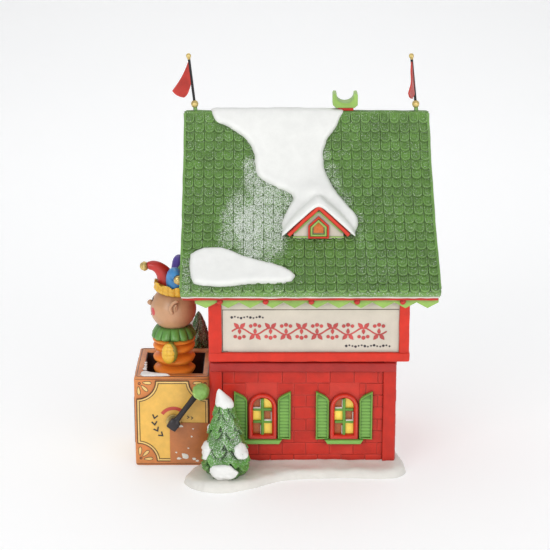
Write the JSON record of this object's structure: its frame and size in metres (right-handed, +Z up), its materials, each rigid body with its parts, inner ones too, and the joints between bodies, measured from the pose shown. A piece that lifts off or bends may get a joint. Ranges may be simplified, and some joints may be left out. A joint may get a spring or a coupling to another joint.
{
  "type": "jack in the box ornament",
  "caption": "Glazed village toy shop with a snowy shingled roof and dormer, and a crank-handled jack-in-the-box on bellows standing at its side.",
  "frame": {"origin": "on the ground, at the middle of the footprint", "axes": "+X along the shop front to the right, +Y towards the back, +Z up"},
  "size_m": [0.149, 0.1235, 0.2023],
  "materials": {
    "snow": "satin white glaze",
    "brick": "satin red glaze over modelled brick",
    "sign_red": "satin red glaze",
    "cream": "satin cream glaze",
    "shutter_green": "satin green glaze",
    "pane_brown": "gloss glaze",
    "pane_yellow": "gloss glaze",
    "pane_amber": "gloss glaze",
    "shingle_green": "satin glaze, darker between the shingles",
    "fascia_red": "satin red glaze",
    "trim_green": "satin light green glaze",
    "brass": "polished",
    "pole_black": "satin black",
    "flag_red": "satin red",
    "toy_orange": "satin orange glaze, worn at the edges",
    "toy_dark": "matt dark brown",
    "toy_yellow": "satin yellow glaze",
    "steel": "bare wire",
    "crank_black": "satin black",
    "knob_green": "satin green glaze",
    "bellows_orange": "satin orange glaze",
    "ruff_green": "satin green glaze",
    "skin": "satin skin-coloured glaze",
    "arm_yellow": "satin yellow glaze",
    "hat_yellow": "satin yellow glaze",
    "horn_red": "satin red glaze",
    "horn_blue": "satin blue glaze",
    "horn_purple": "satin purple glaze",
    "horn_green": "satin green glaze",
    "tree_green": "satin green glaze with frost grit",
    "tree_dark": "satin dark green glaze"
  },
  "bodies": {
    "ornament": {"chimney_cap": "trim_green", "chimney_stack": "brick", "corner_posts": "brick", "crank_bush": "brass", "dormer_roof": "trim_green", "dormer_wall": "cream", "dormer_window_frame": "sign_red", "dormer_window_pane": "pane_amber", "eave_snow": "snow", "fascia_boards": "fascia_red", "flag_socket_left": "brass", "flag_socket_right": "brass", "house_walls": "brick", "jack_bellows": "bellows_orange", "jack_spring": "steel", "roof_shell": "shingle_green", "roof_snow": "snow", "scallop_trims": "trim_green", "shutters_left": "shutter_green", "shutters_right": "shutter_green", "sign_frame": "sign_red", "sign_panel": "cream", "snow_base": "snow", "toy_box_floor": "toy_dark", "toy_box_front_panel": "toy_yellow", "toy_box_rim": "toy_orange", "toy_box_walls": "toy_orange", "tree_front": "tree_green", "tree_rear": "tree_dark", "trim_studs": "fascia_red", "upper_walls": "brick", "wall_plank": "brick", "window_bars_left": "shutter_green", "window_bars_right": "shutter_green", "window_frame_left": "sign_red", "window_frame_right": "sign_red", "window_panes_dark_left": "pane_brown", "window_panes_dark_right": "pane_brown", "window_panes_light_left": "pane_yellow", "window_panes_light_right": "pane_yellow", "window_sills": "shutter_green"},
    "crank": {"crank_shaft": "steel", "crank_collar": "steel", "crank_arm": "crank_black", "crank_knob": "knob_green"},
    "jack": {"jack_shoulder": "bellows_orange", "jack_ruff": "ruff_green", "jack_head": "skin", "jack_ears_and_nose": "skin", "jack_arms": "arm_yellow", "hat_band": "hat_yellow", "hat_horn_red": "horn_red", "hat_horn_blue": "horn_blue", "hat_horn_purple": "horn_purple", "hat_horn_green": "horn_green", "hat_bells": "brass"},
    "flag_left": {"flag_pole_left": "pole_black", "flag_cloth_left": "flag_red"},
    "flag_right": {"flag_pole_right": "pole_black", "flag_cloth_right": "flag_red"}
  },
  "joints": [
    {"name": "crank_turn", "type": "hinge", "parent": "ornament", "child": "crank", "pos_m": [-0.0551, -0.0269, 0.0242], "axis": [0, -1, 0], "range_deg": [0, 175]},
    {"name": "jack_rise", "type": "slide", "parent": "ornament", "child": "jack", "axis": [0, 0, 1], "range_m": [-0.04, 0], "stiffness_N_per_m": 60, "springref_m": 0.012, "deforming": ["jack_bellows", "jack_spring"]},
    {"name": "flag_left_turn", "type": "hinge", "parent": "ornament", "child": "flag_left", "pos_m": [-0.0441, 0.0085, 0.1773], "axis": [-0.1115, 0, 0.9938], "continuous": true},
    {"name": "flag_right_turn", "type": "hinge", "parent": "ornament", "child": "flag_right", "pos_m": [0.0646, 0.0085, 0.1773], "axis": [-0.1115, 0, 0.9938], "continuous": true}
  ]
}
